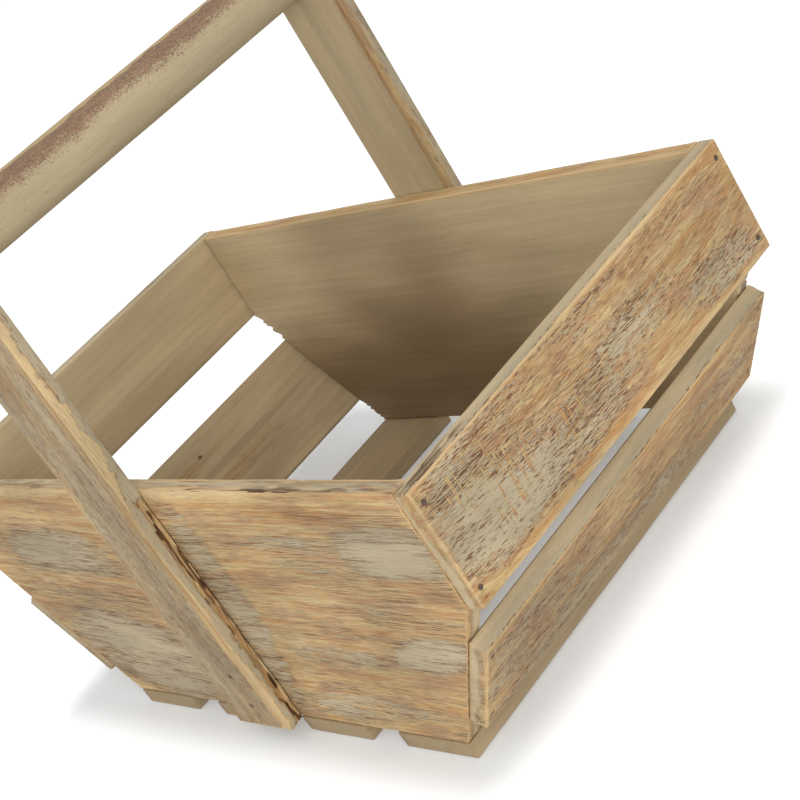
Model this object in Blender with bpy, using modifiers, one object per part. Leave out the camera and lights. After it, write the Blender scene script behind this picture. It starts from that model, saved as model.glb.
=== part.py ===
"""Garden trug: a slatted wooden carrier with two six-sided end panels and a fixed handle.

The ground is at z = 0 and the origin is under the middle of the trug.
X runs across the wide panels, Y runs along the slats from front to back, Z points up.
Every length is in metres.
"""

from math import atan2

import bmesh
import bpy
from mathutils import Matrix, Vector

# End panels: a wide top edge, a short steep side, a long slanted side and a flat bottom edge.
PANEL_TOP_WIDTH = 0.381
PANEL_BEND_FLARE = 0.0011
PANEL_BOTTOM_WIDTH = 0.2634
PANEL_HEIGHT = 0.1459
PANEL_BEND_DROP = 0.0589
PANEL_THICKNESS = 0.0095
BODY_LENGTH = 0.242

# Side slats, an upper and a lower one on each side.
SLAT_WIDTH = 0.060
SLAT_THICKNESS = 0.0093
SLAT_GAP = 0.0251

# Floor boards, spread evenly under the bottom edges of the panels.
FLOOR_BOARD_WIDTH = 0.048
FLOOR_BOARD_THICKNESS = 0.0095
FLOOR_BOARD_COUNT = 4

# Handle: two upright struts on the outer faces of the panels and a round bar between them.
STRUT_WIDTH = 0.0435
STRUT_THICKNESS = 0.0095
STRUT_RISE = 0.018
STRUT_CORNER_RADIUS = 0.005
FRONT_STRUT_SHIFT = -0.0069
BACK_STRUT_SHIFT = 0.0018
BAR_DIAMETER = 0.0285
BAR_HEIGHT = 0.2903

# Nails: wire nails with small flat heads, sunk just under the face of the wood.
NAIL_HEAD_RADIUS = 0.0012
NAIL_HEAD_THICKNESS = 0.0007
NAIL_SHANK_RADIUS = 0.0007
NAIL_LENGTH = 0.022
NAIL_POINT_LENGTH = 0.0025
NAIL_SINK = 0.0004
NAIL_EDGE_INSET = 0.008
STRUT_NAIL_LENGTH = 0.016
STRUT_NAIL_FIRST_HEIGHT = 0.014
STRUT_NAIL_SPACING = 0.020
BAR_NAIL_LENGTH = 0.030
BAR_NAIL_SPACING = 0.011

# Shop allowances.
SEAT_GAP = 0.0003
SANDED_EDGE = 0.0012
SANDED_BAR_END = 0.0015
CUT_OVERRUN = 0.001
EDGE_SEGMENTS = 2
CORNER_SEGMENTS = 5
BAR_SIDES = 32
NAIL_SIDES = 12
MERGE_DISTANCE = 0.00001
FLAT_ANGLE = 0.01

# Heights and half widths that follow from the sizes above.
PANEL_BOTTOM_Z = FLOOR_BOARD_THICKNESS + SEAT_GAP
PANEL_TOP_Z = PANEL_BOTTOM_Z + PANEL_HEIGHT
PANEL_BEND_Z = PANEL_TOP_Z - PANEL_BEND_DROP
TOP_CORNER = Vector((PANEL_TOP_WIDTH / 2, 0, PANEL_TOP_Z))
BEND_CORNER = Vector((PANEL_TOP_WIDTH / 2 + PANEL_BEND_FLARE, 0, PANEL_BEND_Z))
BOTTOM_CORNER = Vector((PANEL_BOTTOM_WIDTH / 2, 0, PANEL_BOTTOM_Z))
STRUT_TOP_Z = BAR_HEIGHT + STRUT_RISE
STRUT_FACE_Y = BODY_LENGTH / 2 + SEAT_GAP

ENDS = {"front": -1, "back": 1}
SIDES = {"left": -1, "right": 1}

# Colours as linear red, green and blue.
WORN_PAINT = (0.37, 0.30, 0.19)
SMOOTH_PAINT = (0.39, 0.32, 0.21)
SHADED_PAINT = (0.34, 0.28, 0.18)
HANDLE_PAINT = (0.40, 0.33, 0.21)
NAIL_STEEL = (0.10, 0.085, 0.07)


def clear_scene():
    """Take away whatever the scene starts with."""
    for thing in list(bpy.data.objects):
        bpy.data.objects.remove(thing, do_unlink=True)


def make_collection(name):
    """Make a collection and link it to the scene."""
    collection = bpy.data.collections.new(name)
    bpy.context.scene.collection.children.link(collection)
    return collection


def make_material(name, colour, roughness, metallic=0.0):
    """Make a plain surface with one colour."""
    material = bpy.data.materials.new(name)
    material.use_nodes = True
    shader = material.node_tree.nodes["Principled BSDF"]
    shader.inputs["Base Color"].default_value = (*colour, 1.0)
    shader.inputs["Roughness"].default_value = roughness
    shader.inputs["Metallic"].default_value = metallic
    material.diffuse_color = (*colour, 1.0)
    return material


def move_to(piece, collection):
    """Keep the piece in one collection only."""
    for holder in list(piece.users_collection):
        holder.objects.unlink(piece)
    collection.objects.link(piece)


def finish_piece(piece, name, material):
    """Name a piece, give it its material and file it with the trug."""
    piece.name = name
    piece.data.name = name
    piece.data.materials.clear()
    piece.data.materials.append(material)
    move_to(piece, trug)
    holes = bpy.data.collections.new("holes_in_" + name)
    cutters.children.link(holes)
    hole_sets[name] = holes
    return piece


def sand_edges(piece, width):
    """Round the arrises of a sawn piece."""
    bevel = piece.modifiers.new("sanded_edges", "BEVEL")
    bevel.width = width
    bevel.segments = EDGE_SEGMENTS
    bevel.limit_method = "ANGLE"


def bore_nail_holes(piece):
    """Cut every nail hole that was set out in this piece."""
    cut = piece.modifiers.new("nail_holes", "BOOLEAN")
    cut.operation = "DIFFERENCE"
    cut.solver = "EXACT"
    cut.operand_type = "COLLECTION"
    cut.collection = hole_sets[piece.name]


def sawn_board(name, size, location, tilt, material):
    """A straight board: a box with sanded arrises, tilted about the Y axis."""
    bpy.ops.mesh.primitive_cube_add(size=1, location=location, rotation=(0, tilt, 0))
    board = bpy.context.object
    board.scale = size
    bpy.ops.object.transform_apply(location=False, rotation=False, scale=True)
    sand_edges(board, SANDED_EDGE)
    return finish_piece(board, name, material)


def mesh_from_curve(curve_object):
    """Turn a filled curve into a welded mesh object with clean flat faces."""
    seen = curve_object.evaluated_get(bpy.context.evaluated_depsgraph_get())
    mesh = bpy.data.meshes.new_from_object(seen)
    shape = bmesh.new()
    shape.from_mesh(mesh)
    bmesh.ops.remove_doubles(shape, verts=shape.verts, dist=MERGE_DISTANCE)
    bmesh.ops.dissolve_limit(shape, angle_limit=FLAT_ANGLE, verts=shape.verts, edges=shape.edges)
    shape.to_mesh(mesh)
    shape.free()
    piece = bpy.data.objects.new(curve_object.name, mesh)
    piece.matrix_world = curve_object.matrix_world
    bpy.context.scene.collection.objects.link(piece)
    bpy.data.objects.remove(curve_object, do_unlink=True)
    return piece


def flat_outline(name, points, thickness, middle_y):
    """Extrude an outline drawn in the XZ plane to a plate with the given thickness."""
    curve = bpy.data.curves.new(name, "CURVE")
    curve.dimensions = "2D"
    curve.fill_mode = "BOTH"
    curve.extrude = thickness / 2
    line = curve.splines.new("POLY")
    line.points.add(len(points) - 1)
    for place, point in zip(line.points, points):
        place.co = (point.x, point.z, 0, 1)
    line.use_cyclic_u = True
    upright = Matrix(((1, 0, 0, 0), (0, 0, -1, middle_y), (0, 1, 0, 0), (0, 0, 0, 1)))
    outline = bpy.data.objects.new(name, curve)
    outline.matrix_world = upright
    bpy.context.scene.collection.objects.link(outline)
    bpy.context.view_layer.update()
    return mesh_from_curve(outline)


def mirrored(point):
    """The same point on the other side of the trug's middle plane."""
    return Vector((-point.x, point.y, point.z))


def build_panel(end):
    """An end panel: six-sided, widest near the top, with sanded arrises."""
    half = [BOTTOM_CORNER, BEND_CORNER, TOP_CORNER]
    outline = half + [mirrored(point) for point in reversed(half)]
    middle_y = ENDS[end] * (BODY_LENGTH - PANEL_THICKNESS) / 2
    panel = flat_outline(end + "_panel", outline, PANEL_THICKNESS, middle_y)
    sand_edges(panel, SANDED_EDGE)
    return finish_piece(panel, end + "_panel", worn_paint)


def side_run(level):
    """Where a slat starts on the panel's right edge, its run down the edge and its outward way."""
    if level == "upper":
        corner, foot, drop = TOP_CORNER, BEND_CORNER, 0
    else:
        corner, foot, drop = BEND_CORNER, BOTTOM_CORNER, SLAT_GAP
    run = (foot - corner).normalized()
    outward = Vector((-run.z, 0, run.x))
    start = corner + run * drop
    return start, run, outward


def build_slat(side, level):
    """A side slat: it lies on the edges of both panels and ends flush with their faces."""
    start, run, outward = side_run(level)
    middle = start + run * (SLAT_WIDTH / 2) + outward * (SEAT_GAP + SLAT_THICKNESS / 2)
    tilt = -atan2(outward.z, outward.x)
    if side == "left":
        middle = mirrored(middle)
        tilt = -tilt
    size = (SLAT_THICKNESS, BODY_LENGTH, SLAT_WIDTH)
    paint = worn_paint if side == "right" else smooth_paint
    return sawn_board(side + "_" + level + "_slat", size, middle, tilt, paint)


def floor_board_x(number):
    """The middle of a floor board, counted from the left."""
    first = -(PANEL_BOTTOM_WIDTH - FLOOR_BOARD_WIDTH) / 2
    pitch = -2 * first / (FLOOR_BOARD_COUNT - 1)
    return first + pitch * number


def build_floor_board(number):
    """A narrow floor board under the bottom edges of both panels."""
    size = (FLOOR_BOARD_WIDTH, BODY_LENGTH, FLOOR_BOARD_THICKNESS)
    middle = (floor_board_x(number), 0, FLOOR_BOARD_THICKNESS / 2)
    return sawn_board("floor_board_" + str(number + 1), size, middle, 0, shaded_paint)


def strut_outline(middle_x):
    """The strut's face: a long rectangle whose two top corners are rounded off."""
    half = STRUT_WIDTH / 2
    radius = STRUT_CORNER_RADIUS
    corner = Vector((half - radius, 0, STRUT_TOP_Z - radius))
    turn = Matrix.Rotation
    arc = [corner + Vector((radius, 0, 0)) @ turn(step * QUARTER_TURN / CORNER_SEGMENTS, 3, "Y")
           for step in range(CORNER_SEGMENTS + 1)]
    right = [Vector((half, 0, PANEL_BOTTOM_Z))] + arc
    points = right + [mirrored(point) for point in reversed(right)]
    return [point + Vector((middle_x, 0, 0)) for point in points]


def build_strut(end):
    """A handle strut: it lies flat on the outer face of its panel and stands up past it."""
    middle_y = ENDS[end] * (STRUT_FACE_Y + STRUT_THICKNESS / 2)
    strut = flat_outline(end + "_strut", strut_outline(STRUT_X[end]), STRUT_THICKNESS, middle_y)
    sand_edges(strut, SANDED_EDGE)
    return finish_piece(strut, end + "_strut", handle_paint)


def build_bar():
    """The handle bar: a round bar that fits between the two struts."""
    length = 2 * (STRUT_FACE_Y - SEAT_GAP)
    bpy.ops.mesh.primitive_cylinder_add(vertices=BAR_SIDES, radius=BAR_DIAMETER / 2, depth=length,
                                        location=(BAR_X, 0, BAR_HEIGHT), rotation=(QUARTER_TURN, 0, 0))
    bar = bpy.context.object
    sand_edges(bar, SANDED_BAR_END)
    bar.data.shade_smooth()
    bar.data.set_sharp_from_angle(angle=SHARP_ANGLE)
    return finish_piece(bar, "handle_bar", handle_paint)


def nail_profile(length, clearance):
    """Half the outline of a nail from its head down to its point, grown by the clearance."""
    head = NAIL_HEAD_RADIUS + clearance
    shank = NAIL_SHANK_RADIUS + clearance
    top = NAIL_SINK + CUT_OVERRUN if clearance else 0
    under_head = -NAIL_HEAD_THICKNESS - clearance
    tip = -length - clearance
    shoulder = -length + NAIL_POINT_LENGTH
    return [(0, top), (head, top), (head, under_head), (shank, under_head), (shank, shoulder), (0, tip)]


def turn_on_lathe(name, profile):
    """Turn a profile about the Z axis into a round solid."""
    mesh = bpy.data.meshes.new(name)
    corners = [(radius, 0, height) for radius, height in profile]
    lines = [(place, place + 1) for place in range(len(corners) - 1)]
    mesh.from_pydata(corners, lines, [])
    solid = bpy.data.objects.new(name, mesh)
    screw = solid.modifiers.new("turned", "SCREW")
    screw.steps = NAIL_SIDES
    screw.render_steps = NAIL_SIDES
    screw.use_merge_vertices = True
    screw.merge_threshold = MERGE_DISTANCE
    screw.use_smooth_shade = False
    return solid


def drive_nail(name, point, way, length, pieces):
    """Drive one nail into the given pieces: the nail itself, and the hole that it sits in.

    The point lies on the face of the wood, and the way points along the nail into the wood.
    """
    aim = way.normalized().to_track_quat("-Z", "Y")
    head_top = point + way.normalized() * NAIL_SINK
    nail = turn_on_lathe(name, nail_profile(length, 0))
    trug.objects.link(nail)
    nail.data.materials.append(nail_steel)
    hole = turn_on_lathe("hole_for_" + name, nail_profile(length, SEAT_GAP))
    hole.hide_render = True
    hole.display_type = "WIRE"
    for solid in (nail, hole):
        solid.rotation_mode = "QUATERNION"
        solid.rotation_quaternion = aim
        solid.location = head_top
    for piece in pieces:
        hole_sets[piece].objects.link(hole)


def nail_slat(side, level):
    """Two nails through each end of a slat into the edge of the panel behind it."""
    start, run, outward = side_run(level)
    face = start + outward * (SEAT_GAP + SLAT_THICKNESS)
    slat = side + "_" + level + "_slat"
    for end, sign in ENDS.items():
        row_y = sign * (BODY_LENGTH - PANEL_THICKNESS) / 2
        for row, drop in (("top", NAIL_EDGE_INSET), ("low", SLAT_WIDTH - NAIL_EDGE_INSET)):
            point = face + run * drop
            way = -outward
            if side == "left":
                point, way = mirrored(point), mirrored(way)
            point.y = row_y
            name = "_".join(("nail", side, level, end, row))
            drive_nail(name, point, way, NAIL_LENGTH, (slat, end + "_panel"))


def nail_floor_board(number):
    """Two nails up through each end of a floor board into the bottom edge of the panel."""
    board = "floor_board_" + str(number + 1)
    reach = FLOOR_BOARD_WIDTH / 2 - NAIL_EDGE_INSET
    for end, sign in ENDS.items():
        row_y = sign * (BODY_LENGTH - PANEL_THICKNESS) / 2
        for side, hand in SIDES.items():
            point = Vector((floor_board_x(number) + hand * reach, row_y, 0))
            name = "_".join(("nail_floor", str(number + 1), end, side))
            drive_nail(name, point, Vector((0, 0, 1)), NAIL_LENGTH, (board, end + "_panel"))


def nail_strut(end):
    """Nails low down through a strut into its panel, and two more into the end of the bar."""
    strut = end + "_strut"
    face_y = ENDS[end] * (STRUT_FACE_Y + STRUT_THICKNESS)
    inward = Vector((0, -ENDS[end], 0))
    for place, row in enumerate(("low", "high")):
        height = PANEL_BOTTOM_Z + STRUT_NAIL_FIRST_HEIGHT + place * STRUT_NAIL_SPACING
        point = Vector((STRUT_X[end], face_y, height))
        drive_nail("_".join(("nail_strut", end, row)), point, inward, STRUT_NAIL_LENGTH,
                   (strut, end + "_panel"))
    for row, sign in (("under", -1), ("over", 1)):
        point = Vector((BAR_X, face_y, BAR_HEIGHT + sign * BAR_NAIL_SPACING / 2))
        drive_nail("_".join(("nail_bar", end, row)), point, inward, BAR_NAIL_LENGTH,
                   (strut, "handle_bar"))


QUARTER_TURN = atan2(1, 0)
SHARP_ANGLE = QUARTER_TURN / 3
STRUT_X = {"front": FRONT_STRUT_SHIFT, "back": BACK_STRUT_SHIFT}
BAR_X = (FRONT_STRUT_SHIFT + BACK_STRUT_SHIFT) / 2

clear_scene()
trug = make_collection("garden_trug")
cutters = make_collection("cutters")
hole_sets = {}

worn_paint = make_material("worn_paint", WORN_PAINT, 0.8)
smooth_paint = make_material("smooth_paint", SMOOTH_PAINT, 0.75)
shaded_paint = make_material("shaded_paint", SHADED_PAINT, 0.8)
handle_paint = make_material("handle_paint", HANDLE_PAINT, 0.7)
nail_steel = make_material("nail_steel", NAIL_STEEL, 0.55, 0.9)

boards = [build_panel(end) for end in ENDS]
boards += [build_slat(side, level) for side in SIDES for level in ("upper", "lower")]
boards += [build_floor_board(number) for number in range(FLOOR_BOARD_COUNT)]
boards += [build_strut(end) for end in ENDS]
boards += [build_bar()]

for side in SIDES:
    nail_slat(side, "upper")
    nail_slat(side, "lower")
for number in range(FLOOR_BOARD_COUNT):
    nail_floor_board(number)
for end in ENDS:
    nail_strut(end)

for board in boards:
    bore_nail_holes(board)
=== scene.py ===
# %% [markdown]
# # A garden trug in worn paint
# The trug is a small slatted carrier: two six-sided panels, side slats and floor boards nailed across them, and a
# handle of two upright struts with a round bar.
# The solids come ready made and stay as they are in size and place.
# This lesson dresses them: every board gets worn arrises, dips and nail hollows as real shape, and wood, stain and
# rubbed paint as a finish.

# %% Load the solids
import itertools

import bpy
import numpy as np
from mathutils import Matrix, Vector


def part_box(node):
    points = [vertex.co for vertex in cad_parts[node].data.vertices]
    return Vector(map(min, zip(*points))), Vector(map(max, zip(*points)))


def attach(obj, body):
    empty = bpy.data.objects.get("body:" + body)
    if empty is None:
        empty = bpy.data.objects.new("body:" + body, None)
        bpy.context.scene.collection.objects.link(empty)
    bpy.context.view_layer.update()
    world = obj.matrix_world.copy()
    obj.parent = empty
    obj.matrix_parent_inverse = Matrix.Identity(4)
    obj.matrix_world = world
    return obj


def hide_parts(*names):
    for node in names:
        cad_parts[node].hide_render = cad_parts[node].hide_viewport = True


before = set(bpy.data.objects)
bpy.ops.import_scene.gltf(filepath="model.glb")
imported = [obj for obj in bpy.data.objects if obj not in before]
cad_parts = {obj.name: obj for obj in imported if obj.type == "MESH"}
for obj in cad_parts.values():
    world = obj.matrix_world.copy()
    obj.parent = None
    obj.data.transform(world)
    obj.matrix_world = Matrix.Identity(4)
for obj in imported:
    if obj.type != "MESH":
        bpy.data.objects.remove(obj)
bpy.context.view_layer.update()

# %% [markdown]
# ## The camera
# The photograph looks down into the trug from its front right corner, close by, with the camera rolled to the left.
# Place, three turned axes and focal length were worked out from straight edges in the photograph, so a lens value and
# a matrix set the camera, and nothing has to be aimed by eye.

# %% Camera
FRAME_PIXELS = 800
FOCAL_PIXELS = 1744.2
SENSOR = 36.0
CAMERA_PLACE = (0.6931, -0.4425, 0.4438)
CAMERA_RIGHT = (0.65552, 0.57036, -0.49496)
CAMERA_DOWN = (-0.03313, -0.63307, -0.77339)
CAMERA_AHEAD = (-0.75445, 0.52337, -0.39609)

lens = bpy.data.cameras.new("camera")
lens.sensor_width = SENSOR
lens.lens = FOCAL_PIXELS / FRAME_PIXELS * SENSOR
lens.clip_start = 0.01
camera = bpy.data.objects.new("camera", lens)
bpy.context.scene.collection.objects.link(camera)
turned = np.eye(4)
turned[:3, 0] = CAMERA_RIGHT
turned[:3, 1] = -np.array(CAMERA_DOWN)
turned[:3, 2] = -np.array(CAMERA_AHEAD)
turned[:3, 3] = CAMERA_PLACE
camera.matrix_world = turned.T.tolist()
bpy.context.scene.camera = camera
bpy.context.scene.view_settings.view_transform = "Standard"
print("lens in mm:", round(lens.lens, 2))

# %% [markdown]
# ## Light and floor
# The photograph has the even light of a white studio, a little stronger from the side where the camera stands.
# The world plays the white walls, and one wide area lamp beside the camera plays the soft box.
# The paper is a matt floor, and a glow that only the camera sees lifts it to white.
# That glow is weaker under the trug and just round it, which paints a narrow soft shadow there over the lamps' own.

# %% World, lamp and floor
WORLD_LIGHT = 0.71
LAMP_POWER = 11.0
LAMP_SIZE = 0.9
LAMP_PLACE = (1.25, -0.85, 0.8)
LAMP_AIM = (0.0, 0.0, 0.1)
PAPER = (0.84, 0.86, 0.872)
GLOW_UNDER = 0.10
GLOW_AROUND = 0.50
SHADOW_MIDDLE = (-0.0240, 0.0000, 0.0)
SHADOW_CORNER = (0.1605, 0.1210, 1.0)
SHADOW_FADE = (0.004, 0.036)
FLOOR_HALF = 20.0


def white_rays(tree):
    """One where the ray comes straight from the camera, a mirror or a glass, and zero on all others."""
    rays = tree.nodes.new("ShaderNodeLightPath")
    total = rays.outputs["Is Camera Ray"]
    for kind in ("Is Glossy Ray", "Is Transmission Ray"):
        either = tree.nodes.new("ShaderNodeMath")
        either.operation = "MAXIMUM"
        tree.links.new(total, either.inputs[0])
        tree.links.new(rays.outputs[kind], either.inputs[1])
        total = either.outputs[0]
    return total


def make_world():
    """A world that lights softly, and that the camera sees as plain white."""
    world = bpy.data.worlds.new("white_walls")
    world.use_nodes = True
    tree = world.node_tree
    sky = tree.nodes["Background"]
    sky.inputs["Color"].default_value = (1.0, 1.0, 1.0, 1.0)
    strength = tree.nodes.new("ShaderNodeMapRange")
    strength.inputs["To Min"].default_value = WORLD_LIGHT
    strength.inputs["To Max"].default_value = 1.0
    tree.links.new(white_rays(tree), strength.inputs["Value"])
    tree.links.new(strength.outputs["Result"], sky.inputs["Strength"])
    bpy.context.scene.world = world


def make_lamp(name, place, size, power):
    """A square soft lamp that looks at the middle of the trug."""
    data = bpy.data.lights.new(name, "AREA")
    data.size = size
    data.energy = power
    lamp = bpy.data.objects.new(name, data)
    bpy.context.scene.collection.objects.link(lamp)
    back = np.array(place) - np.array(LAMP_AIM)
    back = back / np.linalg.norm(back)
    side = np.cross((0.0, 0.0, 1.0), back)
    side = side / np.linalg.norm(side)
    stand = np.eye(4)
    stand[:3, 0] = side
    stand[:3, 1] = np.cross(back, side)
    stand[:3, 2] = back
    stand[:3, 3] = place
    lamp.matrix_world = stand.T.tolist()


def make_floor():
    """A sheet of white paper under the trug, with a glow for straight views that grows away from it: a painted shadow.

    The way from the trug is the length of max(|place - middle| - corner, 0), which is zero right under it.
    """
    corners = np.array([(-1, -1, 0), (1, -1, 0), (1, 1, 0), (-1, 1, 0)], float) * FLOOR_HALF
    mesh = bpy.data.meshes.new("paper_floor")
    mesh.from_pydata(corners.tolist(), [], [(0, 1, 2, 3)])
    floor = bpy.data.objects.new("paper_floor", mesh)
    bpy.context.scene.collection.objects.link(floor)
    paper = bpy.data.materials.new("white_paper")
    paper.use_nodes = True
    tree = paper.node_tree
    shader = tree.nodes["Principled BSDF"]
    shader.inputs["Base Color"].default_value = (*PAPER, 1.0)
    shader.inputs["Roughness"].default_value = 1.0
    shader.inputs["Specular IOR Level"].default_value = 0.0
    shader.inputs["Emission Color"].default_value = (1.0, 1.0, 1.0, 1.0)
    way = tree.nodes.new("ShaderNodeTexCoord").outputs["Object"]
    for operation, other in (("SUBTRACT", SHADOW_MIDDLE), ("ABSOLUTE", None), ("SUBTRACT", SHADOW_CORNER),
                             ("MAXIMUM", (0.0, 0.0, 0.0)), ("LENGTH", None)):
        node = tree.nodes.new("ShaderNodeVectorMath")
        node.operation = operation
        tree.links.new(way, node.inputs[0])
        if other:
            node.inputs[1].default_value = other
        way = node.outputs["Value" if operation == "LENGTH" else "Vector"]
    # Painted shadow: the weak glow near the trug keeps the floor grey there, with or without the lamps' shade.
    glow = tree.nodes.new("ShaderNodeMapRange")
    glow.interpolation_type = "SMOOTHSTEP"
    for label, number in zip(("From Min", "From Max", "To Min", "To Max"), (*SHADOW_FADE, GLOW_UNDER, GLOW_AROUND)):
        glow.inputs[label].default_value = number
    tree.links.new(way, glow.inputs["Value"])
    seen = tree.nodes.new("ShaderNodeMath")
    seen.operation = "MULTIPLY"
    tree.links.new(white_rays(tree), seen.inputs[0])
    tree.links.new(glow.outputs["Result"], seen.inputs[1])
    tree.links.new(seen.outputs[0], shader.inputs["Emission Strength"])
    mesh.materials.append(paper)


make_world()
make_lamp("soft_box", LAMP_PLACE, LAMP_SIZE, LAMP_POWER)
make_floor()
print("world:", WORLD_LIGHT, "lamp in W:", LAMP_POWER, "floor in m:", 2 * FLOOR_HALF)

# %% [markdown]
# ## Noise with a formula
# Hand work is uneven, so edges, dents and wear all need a smooth chance value at every point of a board.
# A cell grid is laid through the board, each grid corner gets a steady number mixed from its three whole numbers, and
# a smooth step blends the eight numbers round a point.
# Whole arrays go through at once, so a board of sixty thousand points takes a blink.


# %% Value noise
def hashed(cell, seed):
    """A steady number from 0 to 1 for each row of three whole numbers, mixed by products and shifts."""
    cell = cell.astype(np.uint32)
    mixed = (cell[..., 0] * np.uint32(0x9E3779B1)) ^ (cell[..., 1] * np.uint32(0x85EBCA77))
    mixed = mixed ^ (cell[..., 2] * np.uint32(0xC2B2AE3D)) ^ np.uint32(seed * 0x27D4EB2F & 0xFFFFFFFF)
    mixed = (mixed ^ (mixed >> np.uint32(15))) * np.uint32(0x2C1B3C6D)
    mixed = (mixed ^ (mixed >> np.uint32(12))) * np.uint32(0x297A2D39)
    return (mixed ^ (mixed >> np.uint32(15))) / 2.0 ** 32


def smooth(value, low, high):
    """Zero at low, one at high, and a soft rise or fall between: three times the share squared less twice its cube."""
    share = np.clip((value - low) / (high - low), 0.0, 1.0)
    return share * share * (3.0 - 2.0 * share)


def noise(place, cell_size, seed):
    """Smooth chance value from 0 to 1 at each place; cell_size is the size of a cell in mm along each axis."""
    at = place / np.asarray(cell_size, float)
    low = np.floor(at)
    share = smooth(at - low, 0.0, 1.0)
    low = low.astype(np.int64)
    total = np.zeros(len(place))
    for corner in itertools.product((0, 1), repeat=3):
        weight = np.where(corner, share, 1.0 - share).prod(axis=1)
        total += weight * hashed(low + np.array(corner), seed)
    return total


print("noise at three places:", noise(np.array([(0.5, 0.5, 0.5), (0.6, 0.5, 0.5), (9.5, 2.5, 0.5)]), 1.0, 7).round(3))

# %% [markdown]
# ## A board as a skin of quads
# A sawn board is a block, but its life is on its arrises and round its nails.
# So three sets of cutting lines run through the block, close together where shape changes and wide apart where
# nothing does, and only the skin of the cut block is kept.
# The skin is one closed sheet of quads that all face outward.

# %% Cutting lines and skin
FINE_STEP = 0.42
STEP_GROWTH = 0.22
WALK_COUNT = 4001


def cutting_lines(half, coarse, spots=(), reach=2.2):
    """Line places from -half to half, with steps of FINE_STEP + STEP_GROWTH * way from the nearest end or spot.

    Steps are never wider than coarse. Adding up 1 / step along a fine walk counts them, and reading that count
    backwards at even shares gives the lines.
    """
    walk = np.linspace(-half, half, WALK_COUNT)
    spots = np.asarray(spots, float)
    away = half - np.abs(walk)
    if len(spots):
        near_spot = np.abs(walk[:, None] - spots).min(axis=1) - reach
        away = np.minimum(away, np.maximum(near_spot, 0.0))
    step = np.clip(FINE_STEP + away * STEP_GROWTH, FINE_STEP, coarse)
    count = np.concatenate([[0.0], np.cumsum(np.diff(walk) / step[:-1])])
    total = int(np.ceil(count[-1]))
    return np.interp(np.linspace(0.0, count[-1], total + 1), count, walk)


def block_skin(lines):
    """Points on the skin of a block cut by three sets of lines, and quads that face outward."""
    grid = np.stack(np.meshgrid(*lines, indexing="ij"), axis=-1)
    number = np.arange(grid[..., 0].size).reshape(grid.shape[:3])
    sheets = []
    for axis in range(3):
        for end in (0, -1):
            sheet = np.take(number, end, axis=axis)
            quads = np.stack([sheet[:-1, :-1], sheet[1:, :-1], sheet[1:, 1:], sheet[:-1, 1:]], axis=-1).reshape(-1, 4)
            outward = (end == -1) != (axis == 1)
            sheets.append(quads if outward else quads[:, ::-1])
    faces = np.concatenate(sheets)
    used, packed = np.unique(faces, return_inverse=True)
    return grid.reshape(-1, 3)[used], packed.reshape(-1, 4)


def round_arrises(point, half, radius):
    """Each skin point slides to core + outward * radius, where core is the nearest point of the shrunken block.

    Gives the new points and their outward directions. Points away from the arrises stay where they are.
    """
    core = np.clip(point, radius - half, half - radius)
    way = point - core
    outward = way / np.linalg.norm(way, axis=1, keepdims=True)
    return core + outward * radius, outward


test_points, test_faces = block_skin([cutting_lines(length, 2.0) for length in (30.0, 121.0, 4.65)])
print("a slat's skin before nails:", len(test_points), "points", len(test_faces), "quads")

# %% [markdown]
# ## Where every board lies
# All boards share one way of being described, in millimetres: across, along the grain, and outward from the trug.
# The panels give two corners per side, and the slats lie along the edges between them.
# A frame of three directions and a middle then turns a board into place.

# %% Board frames
MM = 0.001
TOP_HALF, BEND_HALF, BOTTOM_HALF = 190.5, 191.6, 131.7
TOP_Z, BEND_Z, BOTTOM_Z = 155.7, 96.8, 9.8
BODY_HALF = 121.0
PANEL_THICK, SLAT_THICK, FLOOR_THICK, STRUT_THICK = 9.5, 9.3, 9.5, 9.5
SLAT_WIDTH, SLAT_GAP, SEAT_GAP = 60.0, 25.1, 0.3
FLOOR_WIDTH, FLOOR_COUNT = 48.0, 4
STRUT_WIDTH, STRUT_TOP = 43.5, 308.3
FRONT_STRUT_X, BACK_STRUT_X = -6.9, 1.8


def turn_into_place(middle, along, outward):
    """A frame: the middle, and the three directions across, along and outward as rows."""
    across = np.cross(along, outward)
    return np.array(middle, float), np.array([across, along, outward], float)


def slat_frame(side, level):
    """The frame of a slat on the right (1) or left (-1) edge of the panels."""
    corner, foot = np.array((TOP_HALF, TOP_Z)), np.array((BEND_HALF, BEND_Z))
    drop = 0.0
    if level == "lower":
        corner, foot, drop = foot, np.array((BOTTOM_HALF, BOTTOM_Z)), SLAT_GAP
    run = (foot - corner) / np.linalg.norm(foot - corner)
    outward = np.array((-run[1], run[0]))
    middle = corner + run * (drop + SLAT_WIDTH / 2) + outward * (SEAT_GAP + SLAT_THICK / 2)
    return turn_into_place((side * middle[0], 0.0, middle[1]), (0.0, side, 0.0), (side * outward[0], 0.0, outward[1]))


def floor_frame(number):
    """The frame of a floor board, counted from the left."""
    first = FLOOR_WIDTH / 2 - BOTTOM_HALF
    pitch = -2 * first / (FLOOR_COUNT - 1)
    return turn_into_place((first + pitch * number, 0.0, FLOOR_THICK / 2), (0.0, 1.0, 0.0), (0.0, 0.0, -1.0))


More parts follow.
